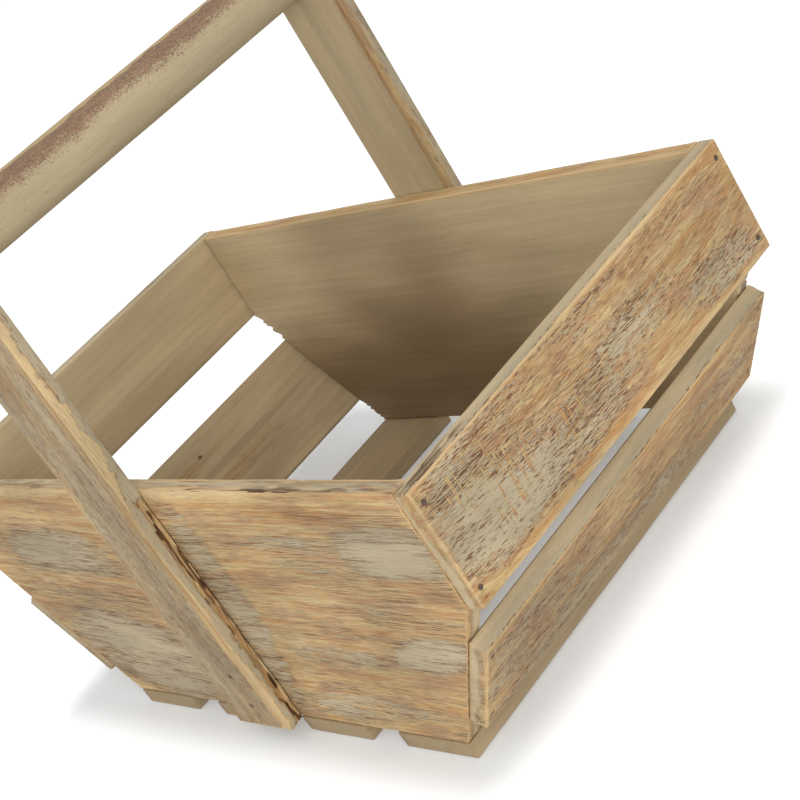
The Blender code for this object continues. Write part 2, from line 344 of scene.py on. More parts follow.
panel_y = BODY_HALF - PANEL_THICK / 2
panel_z = (TOP_Z + BOTTOM_Z) / 2
strut_y = BODY_HALF + SEAT_GAP + STRUT_THICK / 2
strut_z = (STRUT_TOP + BOTTOM_Z) / 2
frames = {
    "front_panel": turn_into_place((0, -panel_y, panel_z), (1, 0, 0), (0, -1, 0)),
    "back_panel": turn_into_place((0, panel_y, panel_z), (-1, 0, 0), (0, 1, 0)),
    "front_strut": turn_into_place((FRONT_STRUT_X, -strut_y, strut_z), (0, 0, 1), (0, -1, 0)),
    "back_strut": turn_into_place((BACK_STRUT_X, strut_y, strut_z), (0, 0, 1), (0, 1, 0)),
}
for side_name, side in (("left", -1), ("right", 1)):
    for level in ("upper", "lower"):
        frames[side_name + "_" + level + "_slat"] = slat_frame(side, level)
for number in range(FLOOR_COUNT):
    frames["floor_board_" + str(number + 1)] = floor_frame(number)
BOARD_SIZES = {"slat": (SLAT_WIDTH, 2 * BODY_HALF, SLAT_THICK), "floor": (FLOOR_WIDTH, 2 * BODY_HALF, FLOOR_THICK),
               "panel": (TOP_Z - BOTTOM_Z, 2 * BEND_HALF, PANEL_THICK),
               "strut": (STRUT_WIDTH, STRUT_TOP - BOTTOM_Z, STRUT_THICK)}
halves = {name: np.array(size) / 2 for name in frames for kind, size in BOARD_SIZES.items() if kind in name}
print("boards:", len(frames))

# %% [markdown]
# ## Wear, drawn as soft spots
# The photograph shows where paint holds and where it has been rubbed down to the wood, and that is not chance.
# Each board gets a level of paint, and soft egg-shaped spots that add to it or take from it.
# A spot is written as: amount, then its middle and its reach across, along and outward, in mm on the board.
# The next sets do the same for dirt and dark wood together with painted shade inside the trug, for places rubbed
# as pale as an arris, for saw lines, and for the depth in mm of torn ends.
# A painted image could say the same, but it would need a layout of its own for every board.

# %% Spots
WHOLE = 400.0
held_level = {"front_panel": 0.02, "back_panel": 0.95, "right_upper_slat": 0.04, "right_lower_slat": 0.30,
              "left_upper_slat": 0.95, "left_lower_slat": 0.72, "front_strut": 0.48, "back_strut": 0.95,
              "floor": 0.90}
held_spots = {
    "front_panel": [
        (0.90, -41, 170, 5, 21, 52, 8), (0.46, -38, 122, 5, 20, 78, 8), (0.20, 6, 150, 5, 40, 80, 8),
        (0.66, 0, 26, 5, 90, 21, 8), (0.75, 18, 168, 5, 15, 40, 8), (0.40, 26, 96, 5, 10, 70, 8),
        (-0.20, -65, -105, 5, 12, 60, 8), (0.66, -30, -104, 5, 23, 80, 8), (0.20, 0, -100, 5, 60, 100, 8),
        (0.90, 44, -118, 5, 42, 108, 8), (0.46, 58, 100, 5, 16, 90, 8), (0.80, -73, 100, 0, 3, 160, 7),
        (0.25, -73, -110, 0, 3, 120, 7)],
    "back_panel": [(-1.2, -73, 0, 0, 3, 2 * WHOLE, 6)],
    "right_upper_slat": [
        (0.62, 4, -52, 5, 30, 130, 8), (0.30, 10, -80, 5, 15, 54, 8), (-0.20, -10, -42, 5, 10, 50, 8),
        (0.30, -24, -84, 5, 12, 56, 8), (0.60, 18, 86, 5, 17, 46, 8), (0.22, -22, 40, 5, 9, 90, 8),
        (-0.60, 28.5, 0, 5, 6, 190, 8), (1.35, -30, 0, 0, 2.5, WHOLE, 6), (-0.3, -30, -104, 0, 3, 36, 6),
        (0.32, -14, -106, 5, 18, 22, 8)],
    "right_lower_slat": [
        (0.30, -4, -88, 5, 26, 52, 8), (0.38, 20, -10, 5, 14, 130, 8), (-0.34, -20, 50, 5, 14, 100, 8),
        (-0.25, 7, -10, 5, 5, 110, 8), (1.3, -30, 0, 0, 3, WHOLE, 6)],
    "front_strut": [
        (-0.6, -22, 0, 5, 3, WHOLE, 5), (0.3, 22, 70, -4.75, 3, 90, 4.5), (-1.5, 22, 2, -4.75, 4, 9, 3.5)],
    "back_strut": [(-1.1, -21.7, 0, -5, 5, WHOLE, 6)],
    "left_lower_slat": [(-0.30, 6, 0, -5, 7, 100, 8), (-0.30, -14, 20, -5, 5, 90, 8)],
}
# Dirt and painted shade. On the back panel, the inner faces of the front panel and right lower slat, the left slats and
# the floor, the spots are painted shade: darker low in the trug, at the left slats' front ends and lower edges, and
# over the floor boards and along one side of each. The back strut is darkened evenly. The rest darken the outer faces
# in smudges, the front panel's top edge in lines and the left lower slat in a small knot.
grime_spots = {
    "right_upper_slat": [(0.60, -10, -42, 5, 12, 52, 8), (0.50, -22, 62, 5, 8, 62, 8), (0.40, -18, 104, 5, 9, 20, 8),
                         (0.30, 4, 75, 5, 16, 14, 8), (0.20, 8, -20, 5, 18, 90, 8), (0.25, -18, -90, 5, 14, 30, 8),
                         (0.90, -30, -106, 0, 3, 36, 6)],
    "right_lower_slat": [(0.50, -6, -74, 5, 16, 46, 8), (0.50, 7, -10, 5, 6, 110, 8), (0.35, 10, 0, -5, 60, 200, 7)],
    "front_panel": [(0.55, -60, 150, 5, 7, 48, 8), (0.55, 19, 132, 5, 22, 12, 8), (0.50, -12, -150, 5, 13, 40, 8),
                    (0.40, -44, -166, 5, 10, 26, 8), (0.35, -16, 140, 5, 14, 60, 8), (0.25, 10, 100, 5, 14, 50, 8),
                    (0.30, -73, 150, 0, 2, 90, 5), (0.40, -73, -100, 0, 2, 120, 5), (1.0, -73, 120, 3.6, 1.6, 130, 1.1),
                    (0.80, -73, 66, 2.4, 1.5, 24, 1.7), (0.95, -73, 112, 2.6, 1.5, 30, 1.8),
                    (0.80, -73, 158, 2.2, 1.5, 20, 1.8), (0.45, 8, -150, 5, 14, 60, 8), (0.40, -6, -100, 5, 8, 60, 8),
                    (0.60, 70, 0, -5, 104, 330, 7)],
    "back_panel": [(0.76, 66, 70, -5, 104, 330, 8), (0.34, -36, 56, -5, 76, 84, 8), (0.06, -40, -20, -5, 50, 110, 8),
                   (0.17, -18, -20, -5, 52, 84, 8), (0.12, 66, 70, -5, 64, 210, 8)],
    "left_lower_slat": [(0.95, -16.5, -11.7, -4.65, 1.7, 1.9, 2.5), (0.26, 0, 0, 0, WHOLE, WHOLE, WHOLE),
                        (0.22, 20, 20, -5, 9, 110, 8), (0.22, -4, -30, -5, 4, 90, 8), (0.30, 0, -121, -5, 36, 16, 8)],
    "back_strut": [(0.14, 0, 0, -5, WHOLE, WHOLE, 8)],
    "left_upper_slat": [(0.22, 26, 20, -5, 24, 120, 8), (0.30, 0, -121, -5, 36, 8, 8), (0.22, 30, 0, -5, 4, 140, 8)],
    "front_strut": [(0.30, -4, -70, 5, 9, 90, 8), (0.35, -4, 80, 5, 12, 100, 8), (0.5, 22, 2, -4.75, 4, 9, 3.5)],
    "floor": [(0.50, 0, 0, 0, WHOLE, WHOLE, WHOLE), (0.25, 24, 0, 0, 4, WHOLE, 8)],
}
sanded_spots = {
    "front_panel": [(8.0, -68, 46, 5, 22, 84, 8), (7.0, -68, -105, 5, 21, 96, 8), (2.0, -64, 150, 5, 9, 60, 8),
                    (3.6, -10, 70, 5, 34, 56, 8), (9.0, -73, 100, -4.75, 3, 180, 2.4)],
    "back_panel": [(4.0, -73, 0, 0, 3, 2 * WHOLE, 12)],
    "right_upper_slat": [(4.0, 28, 0, 5, 8, 180, 8), (4.5, -4, 60, 5, 4, 80, 8), (2.5, 14, 96, 5, 12, 30, 8),
                         (2.5, 0, -121, 0, 60, 3, 9), (4.2, -30, 30, 3.8, 2.4, 230, 3.2)],
    "right_lower_slat": [(3.0, -20, 50, 5, 12, 90, 8), (2.5, 0, -121, 0, 60, 3, 9)],
}
sawn_spots = {"right_upper_slat": [(1.0, -6, -86, 5, 30, 40, 8), (0.6, 4, -36, 5, 18, 26, 8)],
              "right_lower_slat": [(0.6, -8, -90, 5, 22, 30, 8)]}
torn_spots = {
    "front_panel": [(0.7, 0, 0, 0, WHOLE, 2 * WHOLE, WHOLE)],
    "back_panel": [(0.8, 0, 0, 0, WHOLE, 2 * WHOLE, WHOLE), (2.6, -3, 191, 0, 17, 40, 40),
                   (0.6, -3, -191, 0, 17, 40, 40), (2.6, 70, 191, 0, 14, 40, 40), (0.6, 70, -191, 0, 14, 40, 40)],
}


def sum_spots(place, spots):
    """Adds up amount * smooth(way, 1, 0.35) over the spots, where way is 1 on a spot's outer shell."""
    total = np.zeros(len(place))
    for amount, x, y, z, reach_x, reach_y, reach_z in spots:
        away = (place - (x, y, z)) / (reach_x, reach_y, reach_z)
        total += amount * smooth(np.linalg.norm(away, axis=1), 1.0, 0.35)
    return total


print("spots drawn:", sum(map(len, held_spots.values())) + sum(map(len, grime_spots.values())))

# %% [markdown]
# ## From block to worn board
# The same steps shape every board, and they only ever take wood away, as wear does.
# A Bevel modifier rounds all arrises alike, so here the radius is a formula instead: it wanders, and now and then it
# grows to a bite.
# Where two boards meet it stays small, so that no wide groove opens between them.

# %% Nail places and arris radii
GRAIN_SHIFT = 913.0
NAILS_OF = {"right_upper_slat": ("right_upper",), "right_lower_slat": ("right_lower",),
            "left_upper_slat": ("left_upper",), "left_lower_slat": ("left_lower",),
            "front_strut": ("strut_front", "bar_front"), "back_strut": ("strut_back", "bar_back")}


def nail_heads(name):
    """Where nails go into a board: the middle of each nail's box, turned into the board's across and along."""
    kinds = NAILS_OF.get(name, ())
    if "floor" in name:
        kinds = ("floor_" + name[-1],)
    nails = [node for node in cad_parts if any(node.startswith("nail_" + kind) for kind in kinds)]
    boxes = np.array([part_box(node) for node in nails]).reshape(-1, 2, 3)
    middle, ways = frames[name]
    return ((boxes.mean(axis=1) / MM - middle) @ ways.T)[:, :2]


def snug_share(name, place, half):
    """Share of the rounding radius: small where two boards meet, so that no wide groove opens between them."""
    if "panel" in name:
        return 1.0 - 0.6 * smooth(np.abs(place[:, 1]), half[1] - 6.0, half[1] - 2.0)
    whole = 0.7 if "strut" in name else 1.0
    return whole * (1.0 - 0.6 * smooth(place[:, 2], 1.0, -1.0))


def wandering_radius(place, seed, base=0.55, spread=0.7):
    """Rounding radius in mm: a base, a slow wander, and steep rises to a bite where a second noise peaks."""
    wander = noise(place, (30.0, 22.0, 30.0), seed) * spread
    bite = smooth(noise(place, (9.0, 6.0, 9.0), seed + 1), 0.86, 0.97) * 1.5
    small = noise(place, (3.0, 2.5, 3.0), seed + 2) * 0.30
    return base + wander + bite + small


print("nails of the right upper slat, in mm:", nail_heads("right_upper_slat").round(1).tolist())

# %% [markdown]
# ## Dips and hollows
# A sawn face is never flat: drying leaves long waves, fibres leave ridges and the saw leaves chatter.
# The hammer leaves a small hollow round each nail head.
# Bump in a material would only shade them, and the exported shape would lose them, so they are depths under the true
# block, to be taken off along the outward direction.

# %% Dips and hollows
HOLLOW_DEPTH = 0.45
HOLLOW_RADIUS = 1.35
HOLLOW_RIM = 0.7


def surface_dips(place, seed, rough):
    """How deep the surface lies under the true block, in mm: long waves, plus short ones where the face is rough."""
    waves = noise(place, (16.0, 70.0, 16.0), seed + 3) * 0.22
    ridges = noise(place, (2.4, 14.0, 2.4), seed + 4) * 0.14
    chatter = noise(place, (30.0, 1.9, 30.0), seed + 5) * 0.07
    return waves + (ridges + chatter) * rough


def hollow_dips(place, nails):
    """Depth in mm of the hollows round the nail heads on the outer face."""
    dips = np.zeros(len(place))
    for x, y in nails:
        away = np.hypot(place[:, 0] - x, place[:, 1] - y)
        dips = np.maximum(dips, HOLLOW_DEPTH * smooth(away, HOLLOW_RADIUS + HOLLOW_RIM, HOLLOW_RADIUS))
    return dips * (place[:, 2] > 0)


print("deepest dip of a rough face, in mm:", surface_dips(test_points, 1, 1.0).max().round(2))

# %% [markdown]
# ## Outlines that are no plain block
# The panels are widest at their bend and taper down to the floor, and each strut has two rounded top corners.
# A boolean would cut them in one go but leave long thin triangles; scaling and squeezing the block keeps its quads.

# %% Outlines
CORNER_RADIUS = 5.0


def taper_panel(shaped):
    """Scales a block to the six-sided outline: half width at each height over the greatest half width."""
    bend = (TOP_Z + BOTTOM_Z) / 2 - BEND_Z
    edge = (TOP_Z - BOTTOM_Z) / 2
    share = np.interp(shaped[:, 0], (-edge, bend, edge), (TOP_HALF, BEND_HALF, BOTTOM_HALF)) / BEND_HALF
    shaped[:, 1] *= share
    return shaped


def round_strut_top(shaped, half):
    """The two top corners of a strut: each square is squeezed to a quarter disc by max(x, y) / hypot(x, y)."""
    over = np.abs(shaped[:, :2]) - (half[:2] - CORNER_RADIUS)
    corner = (over > 0).all(axis=1) & (shaped[:, 1] > 0)
    part = over[corner]
    squeeze = part.max(axis=1) / np.hypot(part[:, 0], part[:, 1])
    shaped[corner, :2] = np.sign(shaped[corner, :2]) * (half[:2] - CORNER_RADIUS + part * squeeze[:, None])
    return shaped


print("panel half widths, in mm:", TOP_HALF, BEND_HALF, BOTTOM_HALF)

# %% [markdown]
# ## Torn wood
# The slanting sides of the panels end in torn fibres, and the front strut has lost a ragged strip from the panel's top
# downward.
# Sculpting would do for one picture; a noise that is read twice gives the shape here and the dark colour later the same
# ragged border.

# %% Torn wood
FOLLOW_WAY = 6.0
TEAR_TOP, TEAR_FULL = -4.0, -9.0
SPLINTER_FLOOR, SPLINTER_DEPTH = 0.45, 1.6


def tear_ends(shaped, place, half, start, seed, torn):
    """Pulls the ends in by chance * depth; points near an end follow by a smooth share, so the skin doesn't fold."""
    flat = place * (1.0, 0.0, 1.0) + start
    ragged = smooth(noise(flat, (1.3, 9.0, 3.0), seed + 7), 0.25, 0.8)
    ragged = ragged * (0.35 + noise(flat, (5.0, 9.0, 9.0), seed + 13))
    follow = smooth(np.abs(place[:, 1]), half[1] - FOLLOW_WAY, half[1])
    shaped[:, 1] -= np.sign(place[:, 1]) * ragged * follow * sum_spots(place, torn)
    return shaped


def torn_share(place, start, seed):
    """Share of torn wood on the strut's right side below the panel's top: one behind a ragged border, zero before."""
    ragged = (noise(place + start, (9.0, 8.0, 9.0), seed + 11) - 0.5) * 2.4
    ragged += (noise(place + start, (3.0, 2.6, 3.0), seed + 14) - 0.5) * 1.0
    return smooth(place[:, 2] + ragged, 0.0, -0.4) * smooth(place[:, 1], TEAR_TOP, TEAR_FULL)


def split_strip(shaped, place, half, start, seed):
    """Splits splinters off the torn side of the front strut: deeper where a noise squared peaks."""
    strip = torn_share(place, start, seed) * smooth(place[:, 0], half[0] - 2.5, half[0])
    splinters = noise(place + start, (3.0, 9.0, 0.9), seed + 12) ** 2
    shaped[:, 0] -= strip * (SPLINTER_FLOOR + SPLINTER_DEPTH * splinters)
    return shaped


print("boards with torn ends:", list(torn_spots))

# %% [markdown]
# ## Wear as values on points
# The finish has to know, at each point, how much paint holds, how much dirt and painted shade lies there, whether
# it is the painted outside or the stained inside, and how near the next arris is.
# These values are worked out from the spots and from noise and stored on the points, so one finish serves all boards.
# The front strut's right side is a story of its own: scalloped gold above the panel, smooth stain and the tear below,
# with painted shade in its cracks.

# %% Wear maps
EDGE_STRIP = 0.9
HELD_INSIDE = 0.92
FAR_FROM_NAILS = 99.0


def strut_wear(place, half, start, seed, maps):
    """Adds the front strut's right side: scalloped gold border, gold ridge, calm stain, the tear and painted shade in
    its cracks.
    """
    side = smooth(place[:, 0], half[0] - EDGE_STRIP, half[0] - 0.3)
    above = smooth(place[:, 1] + 2.0 * place[:, 2], -14.0, 6.0)
    scallop = -0.5 + 4.6 * smooth(place[:, 1], 16.0, -10.0)
    scallop = scallop + (noise(place + start, (30.0, 12.0, 30.0), seed + 15) - 0.5) * 4.6
    scallop += (noise(place + start, (8.0, 3.0, 8.0), seed + 16) - 0.5) * 2.8
    bare_side = side * smooth(place[:, 2] - scallop, -0.2, 0.3)
    sway = (noise(place + start, (30.0, 16.0, 30.0), seed + 17) - 0.5) * 3.0
    ridge = (1.0 - side) * (place[:, 2] > 0) * (1.0 - above) * smooth(place[:, 0] + sway, 13.2, 15.2)
    faint = (1.0 - side) * (place[:, 2] > 0) * above * smooth(place[:, 0] + 2.0 * sway, 12.0, 20.0)
    torn = side * torn_share(place, start, seed)
    calm = side * (1.0 - above) * (1.0 - torn) * (1.0 - bare_side)
    rear = side * above * (1.0 - bare_side)
    held = maps["held"] * (1.0 - calm) + 1.3 * calm - 1.5 * (bare_side + ridge + torn) - 0.35 * faint + 0.2 * rear
    rub = np.where(side > 0.5, 9.0, maps["rub"]) - np.where(side > 0.5, 15.0, 7.0) * (bare_side + ridge) - 1.2 * faint
    # Painted shade: dark lines by noise in the cracks of the torn strip, beside the splinters' own shape.
    crack_shade = smooth(noise(place + start, (2.0, 9.0, 1.2), seed + 18), 0.54, 0.68)
    grime = maps["grime"] * (1.0 - calm - bare_side) + torn * (0.40 + 0.55 * crack_shade) + 0.25 * rear
    stain = maps["stain"] * (1.0 - side)
    maps.update(held=held, rub=rub, grime=np.clip(grime, 0.0, 1.0), stain=stain)


def wear_maps(name, place, half, seed):
    """The values the finish reads: rub (small near an arris), held (paint), dirt and painted shade, sawn and stain
    (inside).
    """
    family = "floor" if "floor" in name else name
    start = np.array((0.0, GRAIN_SHIFT * seed, 0.0))
    wobble = noise(place + start, (12.0, 20.0, 12.0), seed + 6) - 0.5
    held = held_level[family] + sum_spots(place, held_spots.get(family, []))
    stain = smooth(place[:, 2] / half[2] + wobble, 0.35, -0.35)
    if family == "floor":
        stain = np.ones(len(place))
    top = smooth(place[:, 0], -half[0] + EDGE_STRIP, -half[0] + 0.2)
    if name == "front_panel":
        strand = smooth(noise(place + start, (9.0, 26.0, 1.3), seed + 20), 0.36, 0.60)
        stain += (strand - stain) * top * smooth(place[:, 2], half[2] - 0.6, half[2] - 1.4)
    if "front" in name or "right" in name:
        held += stain * np.maximum(HELD_INSIDE - held, 0.0)
    length = 1.6 if "panel" in name else 1.0
    for cell, height in (((9.0, 38.0 * length, 9.0), 0.60), ((3.2, 12.0 * length, 3.2), 0.40)):
        held += (noise(place + start, cell, seed + int(cell[1])) - 0.5) * height * (1.0 - 0.7 * stain)
    # Dirt, and painted shade inside the trug, from the spots; a dark ring round each nail head follows.
    grime = sum_spots(place, grime_spots.get(family, []))
    if name in ("front_panel", "right_upper_slat"):
        smudge = smooth(noise(place + start, (9.0, 9.0, 0.8), seed + 21), 0.42, 0.62)
        grime = grime * (1.0 - top) + 1.5 * grime * top * smudge
    depth = np.sort(half - np.abs(place), axis=1)
    spread = 0.22 + 0.55 * noise(place + start, (24.0, 18.0, 24.0), seed + 8)
    rub = depth[:, 1] / spread - sum_spots(place, sanded_spots.get(family, []))
    away = np.full(len(place), FAR_FROM_NAILS)
    for x, y in nail_heads(name):
        away = np.minimum(away, np.hypot(place[:, 0] - x, place[:, 1] - y))
    grime = np.minimum(grime, 0.55 + 0.45 * stain + 0.45 * (place[:, 0] < -half[0] + EDGE_STRIP))
    grime = np.maximum(grime, smooth(away, 2.1, 1.1) * 0.8 * (place[:, 2] > 0))
    maps = {"rub": rub + 0.7 * stain, "held": held, "grime": np.clip(grime, 0.0, 1.0),
            "sawn": sum_spots(place, sawn_spots.get(family, [])), "stain": stain}
    if name == "front_strut":
        strut_wear(place, half, start, seed, maps)
    maps["held"] = np.clip(maps["held"], -0.3, 1.5)
    return maps


print("boards with spots of paint:", len(held_spots), "of dirt:", len(grime_spots))

# %% [markdown]
# ## One builder for all boards
# The steps are now put in a row, and the grain gets a place of its own on every point.
# Object coordinates would do for one straight board, but the boards lean, so each point remembers where it lay in its
# own board, how far that board was from the heart of its tree, and how the grain drifts sideways.

# %% Board builder
HEART_WAY = (46.0, 0.0, 38.0)
LINE_ACROSS_EDGE = 1.4


def grain_lean(name, place):
    """The way from the heart of the tree, in mm, and on three boards a drift with the place along or its square."""
    drift = np.zeros_like(place)
    if name == "right_upper_slat":
        drift[:, 0] = 0.00045 * (place[:, 1] - 60.0) ** 2
    elif name == "right_lower_slat":
        drift[:, 0] = 0.00025 * (place[:, 1] - 90.0) ** 2
    elif name == "front_panel":
        drift[:, 0] = -0.05 * np.minimum(place[:, 1], 0.0)
    return drift + HEART_WAY


def make_mesh_object(name, points, faces, maps):
    """A smooth-shaded object from arrays; every map becomes a value or a vector stored on its points."""
    mesh = bpy.data.meshes.new(name)
    mesh.from_pydata(points.tolist(), [], faces)
    mesh.polygons.foreach_set("use_smooth", np.ones(len(faces), bool))
    for label, values in maps.items():
        is_vector = values.ndim == 2
        layer = mesh.attributes.new(label, "FLOAT_VECTOR" if is_vector else "FLOAT", "POINT")
        layer.data.foreach_set("vector" if is_vector else "value", values.astype(np.float32).ravel())
    piece = bpy.data.objects.new(name, mesh)
    bpy.context.scene.collection.objects.link(piece)
    return piece


def build_board(name, seed, coarse, dense_x=()):
    """One worn board: skin, rounded arrises, less dips and hollows, tears and outline, then turned into place."""
    half = halves[name]
    middle, ways = frames[name]
    nails = nail_heads(name)
    lines = [cutting_lines(half[0], coarse[0], [*nails[:, 0], *dense_x]),
             cutting_lines(half[1], coarse[1], nails[:, 1]), cutting_lines(half[2], LINE_ACROSS_EDGE)]
    place, faces = block_skin(lines)
    start = np.array((0.0, GRAIN_SHIFT * seed, 0.0))
    maps = wear_maps(name, place, half, seed)
    radius = wandering_radius(place + start, seed) * snug_share(name, place, half)
    shaped, outward = round_arrises(place, half, np.clip(radius, 0.3, half[2] - 0.4)[:, None])
    dips = surface_dips(place + start, seed, 1.0 - 0.75 * maps["stain"]) + hollow_dips(place, nails)
    shaped -= outward * dips[:, None]
    if name in torn_spots:
        shaped = tear_ends(shaped, place, half, start, seed, torn_spots[name])
    if name == "front_strut":
        shaped = split_strip(shaped, place, half, start, seed)
    if "panel" in name:
        shaped = taper_panel(shaped)
    if "strut" in name:
        shaped = round_strut_top(shaped, half)
    maps["grain"] = place + start + grain_lean(name, place)
    piece = make_mesh_object("worn_" + name, (shaped @ ways + middle) * MM, faces.tolist(), maps)
    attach(piece, "root")
    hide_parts(name)
    return piece


print("grain of the front panel starts, in mm:", grain_lean("front_panel", np.zeros((1, 3))).tolist())

# %% [markdown]
# ## Build the boards
# Twelve flat boards come out of the builder, each with a seed of its own, so that no two share a dent.
# The panels are cut finer across, because they are seen closest, and extra lines go where a tear or a small knot needs
# points.

# %% Build the boards
PANEL_STEPS, BOARD_STEPS = (0.9, 1.9), (1.6, 1.1)
DENSE_LINES = {"back_panel": (*range(-14, 10, 6), *range(62, 75, 6)), "left_lower_slat": (-16.5,)}
boards = {}
seeds = {name: 11 + 7 * number for number, name in enumerate(sorted(frames))}
for name in frames:
    steps = PANEL_STEPS if "panel" in name else BOARD_STEPS
    boards[name] = build_board(name, seeds[name], steps, DENSE_LINES.get(name, ()))
print({name: len(piece.data.polygons) for name, piece in boards.items()})

# %% [markdown]
# ## The bar
# The bar is a turned dowel between the struts, smooth from hands, with its ends a little rounded.
# A ready cylinder would have flat facets and no waves; rings of points along the axis stay round however close the
# view is, and can dip a little here and there.
# Its top has lost the stain in one long worn patch with a flaking border, which is worked out from the angle round the
# axis, swayed by noise.

# %% Bar
BAR_RADIUS = 14.25
BAR_RING = 128
HEART_OF_BAR = (30.0, 0.0, 24.0)


def bar_profile(half, count=230, edge=1.2):
    """Places of the rings along the axis and the share of the radius at each; the ends turn by sine and cosine."""
    turn = np.linspace(0.0, np.pi / 2, 7)
    cap = np.linspace(0.05, 1.0, 9)[:-1] * (1.0 - edge / BAR_RADIUS)
    rise = 1.0 - edge / BAR_RADIUS * (1.0 - np.sin(turn))
    at = np.concatenate([np.full(len(cap), -half), -half + edge * (1.0 - np.cos(turn))])
    share = np.concatenate([cap, rise])
    body = np.linspace(-half + edge, half - edge, count)[1:-1]
    places = np.concatenate([at, body, -at[::-1]])
    shares = np.concatenate([share, np.ones(len(body)), share[::-1]])
    return places, shares


def build_bar(name="handle_bar", seed=5):
    """The dowel: (sine, 0, cosine) of the angle times the radius on each ring, less dips, and a point at each end."""
    low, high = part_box(name)
    half = (high[1] - low[1]) / 2 / MM
    middle = np.array((low[0] + high[0], low[1] + high[1], low[2] + high[2])) / 2 / MM
    along, share = bar_profile(half)
    angle = np.linspace(0.0, 2 * np.pi, BAR_RING, endpoint=False)
    ring = np.stack([np.sin(angle), np.zeros(BAR_RING), np.cos(angle)], axis=1)
    place = ring[None] * share[:, None, None] * BAR_RADIUS
    place[:, :, 1] = along[:, None]
    place = place.reshape(-1, 3)
    tips = np.array([(0.0, -half, 0.0), (0.0, half, 0.0)])
    place = np.concatenate([place, tips])
    number = np.arange(len(along) * BAR_RING).reshape(len(along), BAR_RING)
    ahead = np.roll(number, -1, axis=1)
    walls = np.stack([number[:-1], number[1:], ahead[1:], ahead[:-1]], axis=-1).reshape(-1, 4)
    first, last = len(place) - 2, len(place) - 1
    caps = np.concatenate([np.stack([np.full(BAR_RING, first), number[0], ahead[0]], axis=1),
                           np.stack([np.full(BAR_RING, last), ahead[-1], number[-1]], axis=1)])
    start = np.array((0.0, GRAIN_SHIFT * seed, 0.0))
    outward = place * (1.0, 0.0, 1.0) / BAR_RADIUS
    dips = noise(place + start, (9.0, 26.0, 9.0), seed) * 0.30 + noise(place + start, (2.0, 9.0, 2.0), seed + 1) * 0.05
    shaped = place - outward * dips[:, None]
    turned_to = np.degrees(np.arctan2(place[:, 2], place[:, 0]))
    for cell, sway in (((9.0, 34.0, 9.0), 24.0), ((3.0, 6.0, 3.0), 14.0)):
        turned_to += (noise(place + start, cell, seed + int(sway)) - 0.5) * sway
    worn = smooth(turned_to, 12, 58) * smooth(turned_to, 112, 96)
    maps = {"rub": 9.0 - 13.0 * smooth(turned_to, 72, 80), "held": 0.95 - 0.90 * worn, "grime": 0.16 * worn + 0.03,
            "sawn": np.zeros(len(place)), "stain": np.ones(len(place)), "grain": place + start + HEART_OF_BAR}
    piece = make_mesh_object("worn_bar", (shaped + middle) * MM, walls.tolist() + caps.tolist(), maps)
    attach(piece, "root")
    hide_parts(name)
    return piece


boards["handle_bar"] = build_bar()
print("bar quads:", len(boards["handle_bar"].data.polygons))

# %% [markdown]
# ## A finish in layers
# The look is built as it came about: wood first, then paint or stain, then the rubbing that took it off again.
# A photograph of wood would be quicker, but it shows the same knot on every board and goes blurred up close.
# Shader nodes work the colour out at each point instead, and a small class keeps their code as short as a recipe.

# %% Recipe
class Recipe:
    """Builds one finish: each method adds a shader node and gives back its output."""

    def __init__(self, name):
        self.material = bpy.data.materials.new(name)
        self.material.use_nodes = True
        self.tree = self.material.node_tree
        self.shader = self.tree.nodes["Principled BSDF"]

    def feed(self, socket, value):
        """Links a node's output into a socket, or writes a plain value on it."""
        if isinstance(value, bpy.types.NodeSocket):
            self.tree.links.new(value, socket)
        else:
            socket.default_value = value

    def read(self, attribute, kind="Fac"):
        """A value stored on the points of the piece."""
        node = self.tree.nodes.new("ShaderNodeAttribute")
        node.attribute_name = attribute
        return node.outputs[kind]

    def math(self, operation, *values, clamp=False):
        """Plain arithmetic on one, two or three values."""
        node = self.tree.nodes.new("ShaderNodeMath")
        node.operation = operation
        node.use_clamp = clamp
        for socket, value in zip(node.inputs, values):
            self.feed(socket, value)
        return node.outputs[0]

    def move(self, operation, *values, output="Vector"):
        """Arithmetic on vectors."""
        node = self.tree.nodes.new("ShaderNodeVectorMath")
        node.operation = operation
        for socket, value in zip(node.inputs, values):
            self.feed(socket, value)
        return node.outputs[output]

    def noise(self, place, stretch, detail=2.0, roughness=0.5, output="Fac"):
        """Noise with so many cells per millimetre across, along and outward."""
        node = self.tree.nodes.new("ShaderNodeTexNoise")
        node.inputs["Scale"].default_value = 1.0
        node.inputs["Detail"].default_value = detail
        node.inputs["Roughness"].default_value = roughness
        self.feed(node.inputs["Vector"], self.move("MULTIPLY", place, stretch))
        return node.outputs[output]

    def step(self, value, low, high, start=0.0, end=1.0):
        """The value start below low and end above high, with a soft change between."""
        node = self.tree.nodes.new("ShaderNodeMapRange")
        node.interpolation_type = "SMOOTHSTEP"
        for label, number in (("From Min", low), ("From Max", high), ("To Min", start), ("To Max", end)):
            node.inputs[label].default_value = number
        self.feed(node.inputs["Value"], value)
        return node.outputs["Result"]

    def mix(self, share, first, second, blend="MIX"):
        """The first colour, with that share of the second over it."""
        node = self.tree.nodes.new("ShaderNodeMix")
        node.data_type = "RGBA"
        node.blend_type = blend
        self.feed(node.inputs[0], share)
        self.feed(node.inputs[6], first)
        self.feed(node.inputs[7], second)
        return node.outputs[2]


print("steps of a recipe:", [step for step in vars(Recipe) if not step.startswith("_")])

# %% [markdown]
# ## Colours and looks
# All boards share one set of colours, since they are cut from the same wood and painted from the same tin.
# The numbers of a look say how a board differs:
# - thread, fleck and band are noise cells per mm, across, along and outward, of the fibres, of the paint's ragged edge
#   and of the broad streaks; wave is how far the grain sways, in mm.
# - fray and scrape say how much flecks and long streaks move the edge of the paint, and soft is half that edge's width.
# - haze is the paint left in bare wood, dash the strength of brown dashes, orange and olive that of those colours.
# - late_line is how dark year rings show in the stain, speckle and blend make its edge grainy and wide, tones are its
#   two colours, palm is wood darkened by hands, and light is the tone of the whole board.

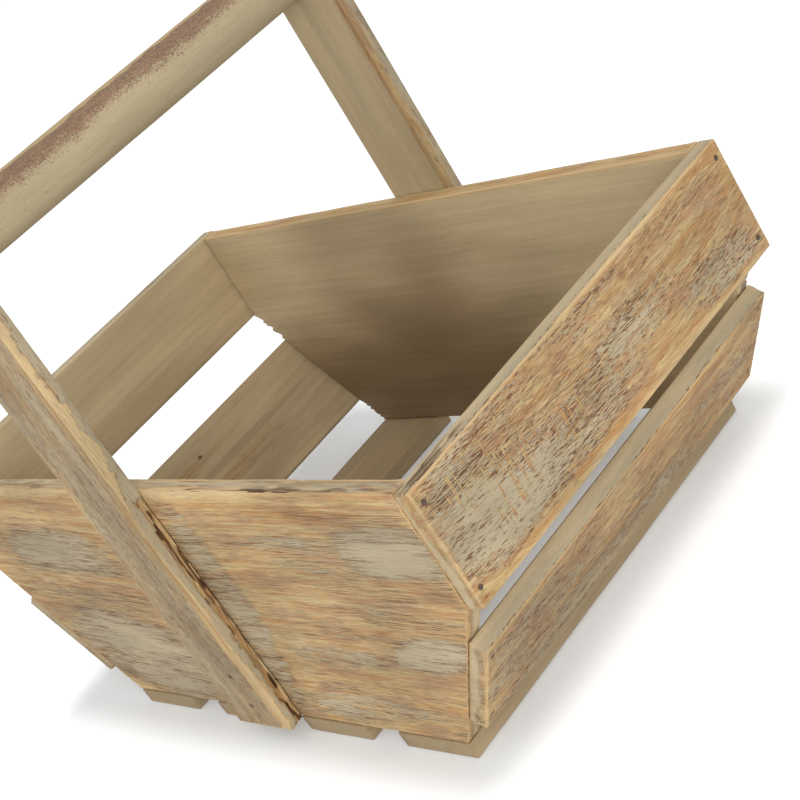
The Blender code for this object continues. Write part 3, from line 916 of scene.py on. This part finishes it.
# %% Colours and looks
PALE_ARRIS = (0.64, 0.475, 0.255, 1.0)
GOLD_WOOD = (0.57, 0.40, 0.185, 1.0)
ORANGE_WOOD = (0.47, 0.25, 0.095, 1.0)
ROSE_WOOD = (0.37, 0.215, 0.125, 1.0)
OLIVE_WOOD = (0.53, 0.42, 0.22, 1.0)
BROWN_WOOD = (0.165, 0.068, 0.028, 1.0)
PAINT_LIGHT = (0.50, 0.415, 0.27, 1.0)
PAINT_DARK = (0.43, 0.345, 0.22, 1.0)
STAIN_LIGHT = (0.60, 0.475, 0.29, 1.0)
STAIN_DARK = (0.55, 0.43, 0.255, 1.0)
STAIN_LINE = (0.32, 0.225, 0.12, 1.0)
# One tint darkens dirt and painted shade alike.
DIRT_AND_SHADE_TINT = (0.27, 0.205, 0.155, 1.0)
HANDLE_LIGHT = (0.487, 0.396, 0.247, 1.0)
HANDLE_DARK = (0.463, 0.373, 0.228, 1.0)
PALM_WOOD = (0.30, 0.18, 0.12, 1.0)
PALM_SPECK = (0.14, 0.105, 0.08, 1.0)

LOOKS = {
    "worn_panel_wood": {"thread": (2.3, 0.050, 2.3), "fleck": (2.5, 0.055, 2.5), "fray": 1.7, "scrape": 1.2,
                        "soft": 0.09, "haze": 0.26, "dash": 0.78, "orange": 0.85, "olive": 0.45, "wave": 5.0,
                        "band": (0.40, 0.013, 0.40), "light": 1.05},
    "worn_slat_wood": {"thread": (1.9, 0.160, 1.9), "fleck": (1.9, 0.18, 1.9), "fray": 2.0, "scrape": 0.9,
                       "soft": 0.06, "haze": 0.22, "dash": 0.90, "orange": 1.0, "olive": 0.15,
                       "band": (0.24, 0.026, 0.24), "light": 0.98},
    "strut_wood": {"thread": (1.9, 0.120, 1.9), "fleck": (1.8, 0.16, 1.8), "fray": 1.6, "scrape": 1.2,
                   "soft": 0.26, "dash": 0.60, "orange": 0.8, "late_line": 0.05, "light": 0.94},
    "smooth_slat_wood": {"thread": (1.6, 0.060, 1.6), "fleck": (2.1, 0.17, 2.1), "fray": 1.2, "scrape": 1.6,
                         "soft": 0.14, "dash": 0.6, "orange": 0.8, "late_line": 0.10, "blend": 0.34, "light": 1.03},
    "floor_wood": {"thread": (1.6, 0.060, 1.6), "fleck": (2.1, 0.17, 2.1), "fray": 1.2, "scrape": 1.6,
                   "soft": 0.14, "dash": 0.6, "orange": 0.8, "light": 1.10},
    "bar_wood": {"thread": (1.7, 0.045, 1.7), "fleck": (2.1, 0.17, 2.1), "fray": 1.2, "scrape": 1.6, "soft": 0.30,
                 "dash": 0.0, "orange": 0.6, "late_line": 0.0, "speckle": 3.2, "blend": 0.10,
                 "tones": (HANDLE_LIGHT, HANDLE_DARK), "palm": 0.80},
}

print("looks:", list(LOOKS))

# %% [markdown]
# ## Bare wood
# Where the paint is gone, softwood shows gold and orange streaks, rosy and olive clouds, and fine brown fibres.
# Its year rings are circles round a heart outside the board, so their width comes from the way to that heart.
# Arrises are pale, because there fresh wood shows, and the fibres carry that paleness a little into the face.

# %% Bare wood
RING_WIDTH = 4.6
FIBRE_REACH = 14.0
PALE_SHARE = 0.88
BROWN_SHARE = 0.80
WANDER_CELLS = (0.012, 0.0035, 0.012)
CLOUD_CELLS = (0.10, 0.028, 0.10)


def bare_wood(r, grain, rub, grime, thread, band, orange, olive, wave):
    """Wood colour: gold to orange by streaks and rings, rose and olive clouds, pale and brown fibres, pale arrises.

    A ring's share is the fraction of (way to the heart / RING_WIDTH). The bent grain, its fibre and streak noise and
    the late wood of the rings are given back for the layers above.
    """
    wander = r.noise(grain, WANDER_CELLS, 1.0, output="Color")
    bend = r.move("MULTIPLY_ADD", wander, (wave, wave, wave), (-wave / 2, -wave / 2, -wave / 2))
    bent = r.move("ADD", grain, bend)
    fibre = r.noise(bent, thread, 3.0, 0.6)
    streak = r.noise(bent, band, 3.0, 0.6)
    cloud = r.noise(bent, CLOUD_CELLS, 2.0, 0.6)
    heart = r.move("LENGTH", r.move("MULTIPLY", bent, (1.0, 0.0, 1.0)), output="Value")
    ring = r.math("FRACT", r.math("DIVIDE", heart, RING_WIDTH))
    late = r.math("MULTIPLY", r.step(ring, 0.45, 0.92), r.step(ring, 0.93, 1.0, 1.0, 0.0))
    wood = r.mix(r.step(streak, 0.42, 0.58, 0.0, orange), GOLD_WOOD, ORANGE_WOOD)
    wood = r.mix(r.math("MULTIPLY", late, 0.5 * orange), wood, ORANGE_WOOD)
    wood = r.mix(r.step(cloud, 0.50, 0.64, 0.0, 0.55), wood, ROSE_WOOD)
    wood = r.mix(r.step(cloud, 0.47, 0.35, 0.0, olive), wood, OLIVE_WOOD)
    wood = r.mix(r.step(fibre, 0.44, 0.30, 0.0, 0.6), wood, PALE_ARRIS)
    # Fibres turn brown under dirt, and under painted shade inside the trug.
    dirt_and_shade_fibre = r.math("MULTIPLY", grime, r.step(fibre, 0.42, 0.54))
    brown = r.math("ADD", r.step(fibre, 0.56, 0.70), dirt_and_shade_fibre, clamp=True)
    wood = r.mix(r.math("MULTIPLY", brown, BROWN_SHARE), wood, BROWN_WOOD)
    reach = r.math("MULTIPLY_ADD", fibre, -FIBRE_REACH, r.math("ADD", rub, FIBRE_REACH / 2))
    wood = r.mix(r.step(reach, -5.0, 3.8, PALE_SHARE, 0.0), wood, PALE_ARRIS)
    return wood, bent, fibre, streak, late


print("year rings in mm:", RING_WIDTH)

# %% [markdown]
# ## Rubbed paint
# Old paint on rough boards goes first from the ridges and arrises, leaves frayed islands, and shows the wood's dark
# fibres as short brown dashes where it is half gone.
# Mixing two colours by one noise gives clouds; adding up the paint's own level, long streaks, flecks, saw lines and the
# rub of the arrises, and cutting that sum at one half, gives the islands.

# %% Rubbed paint
STREAK_CELLS = (0.60, 0.034, 0.60)
SAW_CELLS = (0.060, 0.85, 0.060)
TONE_CELLS = (0.11, 0.03, 0.11)
HALF_HELD = 0.5
CROWD_SHARE = 0.13


def rubbed_paint(r, wood, bent, grain, held, rub, grime, fleck, fray, scrape, soft, haze, dash):
    """Paint rubbed through to the wood, seen from outside; also gives how much paint covers.

    The paint holds where its own level plus streaks, flecks and saw lines passes one half, and soft is half the width
    of that change. A thin haze of paint stays in the wood round it, and brown dashes run where paint is half gone.
    """
    streaks = r.noise(bent, STREAK_CELLS, 3.0, 0.55)
    flecks = r.noise(bent, fleck, 2.0, 0.6)
    saw = r.noise(grain, SAW_CELLS, 1.0)
    lengthwise = r.math("MULTIPLY_ADD", streaks, scrape, r.math("ADD", held, -scrape / 2))
    sawing = r.math("MULTIPLY", r.step(saw, 0.60, 0.65, 0.0, -0.9), r.step(r.read("sawn"), 0.0, 1.0, 0.08, 1.1))
    rubbed = r.step(rub, 0.4, 3.2, -0.70, 0.0)
    level = r.math("MULTIPLY_ADD", grime, -0.20, r.math("ADD", lengthwise, r.math("ADD", sawing, rubbed)))
    hold = r.math("MULTIPLY_ADD", flecks, fray, r.math("ADD", level, -fray / 2))
    cover = r.step(hold, HALF_HELD - soft, HALF_HELD + soft)
    paint = r.mix(r.noise(bent, TONE_CELLS, 2.0), PAINT_LIGHT, PAINT_DARK)
    colour = r.mix(r.step(level, -0.30, 0.50, 0.0, haze), wood, paint)
    colour = r.mix(cover, colour, paint)
    frayed = r.math("MULTIPLY", r.step(level, 0.02, 0.38), r.step(level, 1.30, 0.80))
    dashes = r.noise(bent, (fleck[0], 1.15 * fleck[1], fleck[2]), 2.0, 0.55)
    crowd = r.noise(bent, tuple(CROWD_SHARE * number for number in fleck), 2.0, 0.6)
    dashes = r.math("MULTIPLY_ADD", crowd, 0.45, dashes)
    dashes = r.math("MULTIPLY", r.step(dashes, 0.765, 0.825, 0.0, dash), frayed)
    return r.mix(dashes, colour, BROWN_WOOD), cover, streaks, flecks


print("half widths of the paint's edge:", {look: numbers["soft"] for look, numbers in LOOKS.items()})

# %% [markdown]
# ## Stain and the wear of hands
# Inside, on the left slats and on the bar the trug has a thin smooth stain, through which rings and pores can be seen.
# It is the same cut of a sum as for the paint, but with a wide soft edge.
# On top of the bar hands have taken it off, and the bare wood there has gone rosy brown with fine dark specks.

# %% Stain and palm wear
PORE_CELLS = (1.3, 0.8, 1.3)
PALM_CELLS = (0.9, 0.5, 0.9)


def thin_stain(r, wood, held, rub, grain, streak, late, streaks, flecks, late_line, speckle, blend, tones):
    """A thin stain that lets rings and pores through, and lies bare where hands have worn it away."""
    tone = r.mix(r.step(streak, 0.35, 0.65), *tones)
    tone = r.mix(r.math("MULTIPLY", late, late_line), tone, STAIN_LINE)
    tone = r.mix(r.step(flecks, 0.62, 0.70, 0.0, 0.18), tone, STAIN_LINE)
    speck = r.noise(grain, PORE_CELLS, 3.0, 0.7)
    soaked = r.math("MULTIPLY_ADD", streaks, 0.7, r.math("ADD", held, -0.35))
    soaked = r.math("MULTIPLY_ADD", speck, speckle, r.math("ADD", soaked, -speckle / 2))
    soaked = r.math("ADD", soaked, r.step(rub, 0.6, 2.4, -0.6, 0.05))
    return r.mix(r.step(soaked, HALF_HELD - blend, HALF_HELD + blend), wood, tone)


def palm_wear(r, wood, grain, rub, palm):
    """Bare wood darkened by hands: a rosy brown with fine dark specks, that stops at the pale upper edge."""
    speck = r.noise(grain, PALM_CELLS, 3.0, 0.7)
    darkened = r.mix(r.step(speck, 0.49, 0.59, 0.0, 0.85), PALM_WOOD, PALM_SPECK)
    return r.mix(r.step(rub, -1.0, 3.0, 0.0, palm), wood, darkened)


print("looks with palm wear:", [look for look, numbers in LOOKS.items() if numbers.get("palm")])

# %% [markdown]
# ## The whole finish
# Paint shows outside and stain inside, both over the same wood, so that a board stays one board all round.
# Dirt, and on the inside painted shade, multiplies over them, a fine and a broad grey tone keep large faces from
# looking printed, and a shallow bump lets fibres and the paint's thickness catch the light.

# %% Trug finish
RELIEF = 0.00022
RELIEF_STRENGTH = 0.8
SHINE = 0.30
FINE_CELLS = (2.8, 0.11, 2.8)
BROAD_CELLS = (0.055, 0.013, 0.055)
BROAD_SHARE = 0.85


def trug_finish(name, thread, fleck, fray, scrape, soft, dash, orange, haze=0.42, olive=0.55, wave=16.0,
                band=(0.22, 0.010, 0.22), light=1.0, late_line=0.08, speckle=0.3, blend=0.45,
                tones=(STAIN_LIGHT, STAIN_DARK), palm=0.0):
    """Wood under rubbed paint outside and a thin stain inside, with dirt over both, painted shade inside, and a fine
    relief.

    Colour is layers * (light + (fine + BROAD_SHARE * broad) * share), with half the share on stained faces.
    """
    r = Recipe(name)
    grain, rub = r.read("grain", "Vector"), r.read("rub")
    held, stain, grime = r.read("held"), r.read("stain"), r.read("grime")
    wood, bent, fibre, streak, late = bare_wood(r, grain, rub, grime, thread, band, orange, olive, wave)
    worn, cover, streaks, flecks = rubbed_paint(r, wood, bent, grain, held, rub, grime, fleck, fray, scrape, soft,
                                                haze, dash)
    if palm:
        wood = palm_wear(r, wood, grain, rub, palm)
    smooth_side = thin_stain(r, wood, held, rub, grain, streak, late, streaks, flecks, late_line, speckle, blend,
                             tones)
    colour = r.mix(stain, worn, smooth_side)
    # Painted shade: on the stained inside the dirt map darkens in full, which paints the shade low in the trug; on the
    # paint only heavy dirt darkens.
    outer_dirt = r.math("MULTIPLY", r.step(grime, 0.60, 0.90), r.math("SUBTRACT", 1.0, stain))
    dirt_and_shade_share = r.math("MAXIMUM", r.math("MULTIPLY", grime, stain), outer_dirt)
    colour = r.mix(dirt_and_shade_share, colour, DIRT_AND_SHADE_TINT, "MULTIPLY")
    fine = r.math("SUBTRACT", r.noise(bent, FINE_CELLS, 2.0, 0.6), 0.5)
    fine = r.math("MULTIPLY", fine, r.math("MULTIPLY_ADD", cover, -0.6, 1.1))
    broad = r.math("SUBTRACT", r.noise(bent, BROAD_CELLS, 1.0), 0.5)
    shade = r.math("MULTIPLY", r.math("MULTIPLY_ADD", broad, BROAD_SHARE, fine), r.step(stain, 0.0, 1.0, 1.0, 0.5))
    shade = r.math("ADD", shade, light)
    colour = r.move("MULTIPLY", colour, shade)
    r.feed(r.shader.inputs["Base Color"], colour)
    r.feed(r.shader.inputs["Roughness"], r.step(fibre, 0.3, 0.7, 0.62, 0.82))
    r.shader.inputs["Specular IOR Level"].default_value = SHINE
    relief = r.math("MULTIPLY_ADD", cover, r.math("SUBTRACT", 1.0, stain), r.math("MULTIPLY", fibre, 0.9))
    relief = r.math("ADD", relief, r.math("MULTIPLY", flecks, 0.5))
    bump = r.tree.nodes.new("ShaderNodeBump")
    bump.inputs["Strength"].default_value = RELIEF_STRENGTH
    bump.inputs["Distance"].default_value = RELIEF
    r.feed(bump.inputs["Height"], relief)
    r.feed(r.shader.inputs["Normal"], bump.outputs["Normal"])
    return r.material


finishes = {look: trug_finish(look, **numbers) for look, numbers in LOOKS.items()}
print("nodes in each finish:", {look: len(finish.node_tree.nodes) for look, finish in finishes.items()})

# %% [markdown]
# ## Nails
# Plain wire nails have gone dark and rusty in patches, and a patch of rust is rough where bare steel still shines.
# Their solids are true to shape already, so they only get a finish, with noise on Object coordinates.

# %% Nail finish
NAIL_DARK = (0.075, 0.058, 0.046, 1.0)
NAIL_RUST = (0.13, 0.075, 0.042, 1.0)
RUST_CELLS = (900.0, 900.0, 900.0)


def nail_finish(name):
    """Dark wire nail with brown rust in patches."""
    r = Recipe(name)
    place = r.tree.nodes.new("ShaderNodeTexCoord").outputs["Object"]
    rust = r.noise(place, RUST_CELLS, 3.0)
    r.feed(r.shader.inputs["Base Color"], r.mix(r.step(rust, 0.4, 0.6), NAIL_DARK, NAIL_RUST))
    r.feed(r.shader.inputs["Roughness"], r.step(rust, 0.4, 0.6, 0.45, 0.8))
    r.shader.inputs["Metallic"].default_value = 0.3
    return r.material


rusty = nail_finish("rusty_nail")
for name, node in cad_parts.items():
    if name.startswith("nail"):
        node.material_slots[0].material = rusty
print("nails finished:", sum(name.startswith("nail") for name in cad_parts))

# %% [markdown]
# ## Every board gets its finish
# The part of the trug in a board's name tells its look.

# %% Give the finishes
LOOK_OF = {"panel": "worn_panel_wood", "right": "worn_slat_wood", "left": "smooth_slat_wood", "floor": "floor_wood",
           "strut": "strut_wood", "bar": "bar_wood"}
for name, piece in boards.items():
    look = next(look for part, look in LOOK_OF.items() if part in name)
    piece.data.materials.append(finishes[look])
print("boards finished:", len(boards))

# %% [markdown]
# The dressed trug may not stand out past its solids, since wear only takes wood away.
